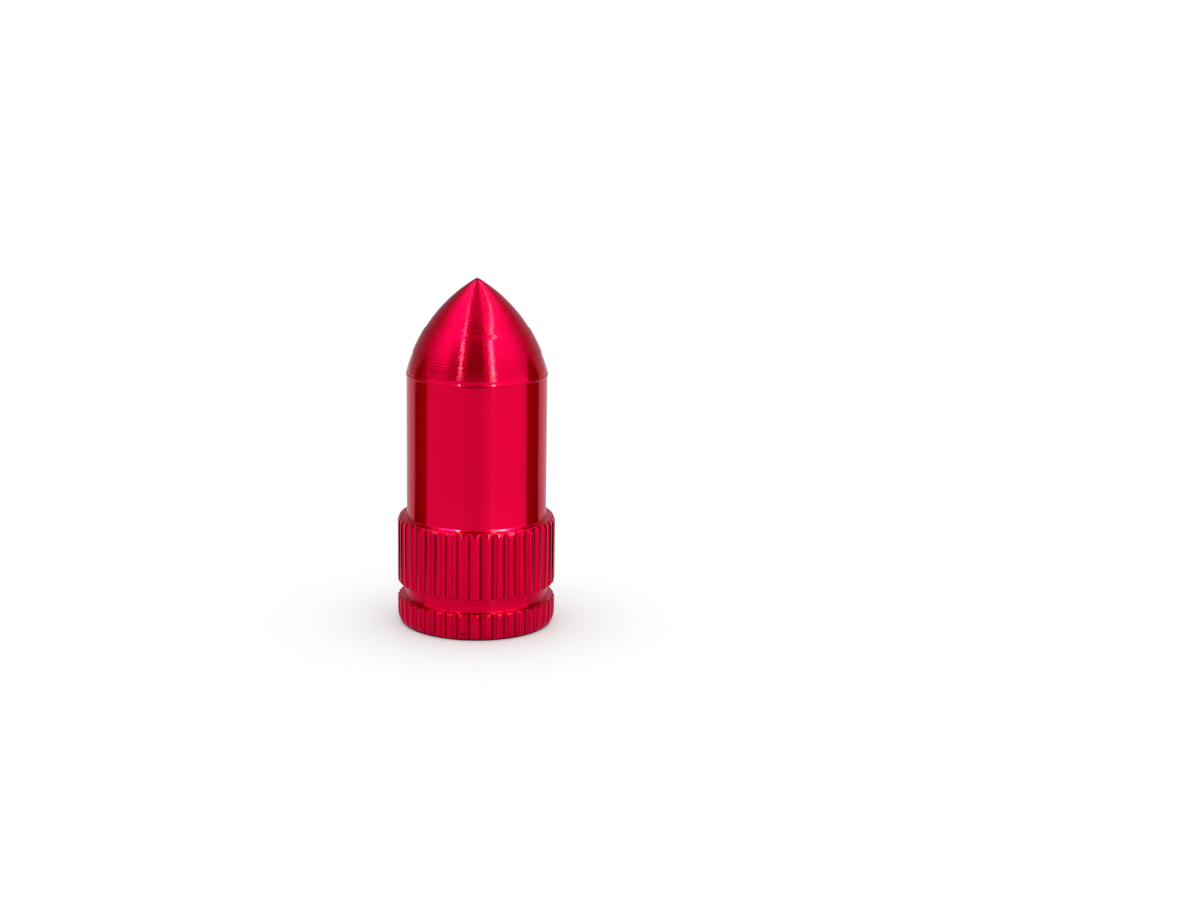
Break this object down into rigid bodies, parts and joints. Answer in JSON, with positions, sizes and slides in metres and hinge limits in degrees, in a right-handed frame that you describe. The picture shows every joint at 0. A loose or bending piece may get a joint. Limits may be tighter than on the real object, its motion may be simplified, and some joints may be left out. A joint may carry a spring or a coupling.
{
  "type": "tyre valve cap",
  "caption": "Bullet-shaped metal dust cap that screws onto a tyre valve, with a straight-knurled collar, a turned groove and a rubber seal inside.",
  "frame": {"origin": "centre of the base face, where the cap stands on a surface with its mouth down", "axes": "+Z along the cap's axis, from the mouth to the tip"},
  "size_m": [0.011, 0.011, 0.0242],
  "materials": {
    "anodised_aluminium": "bright turned aluminium, anodised red",
    "seal_rubber": "matte black rubber"
  },
  "bodies": {
    "root": {"cap_body": "anodised_aluminium", "seal_ring": "seal_rubber"}
  },
  "joints": []
}
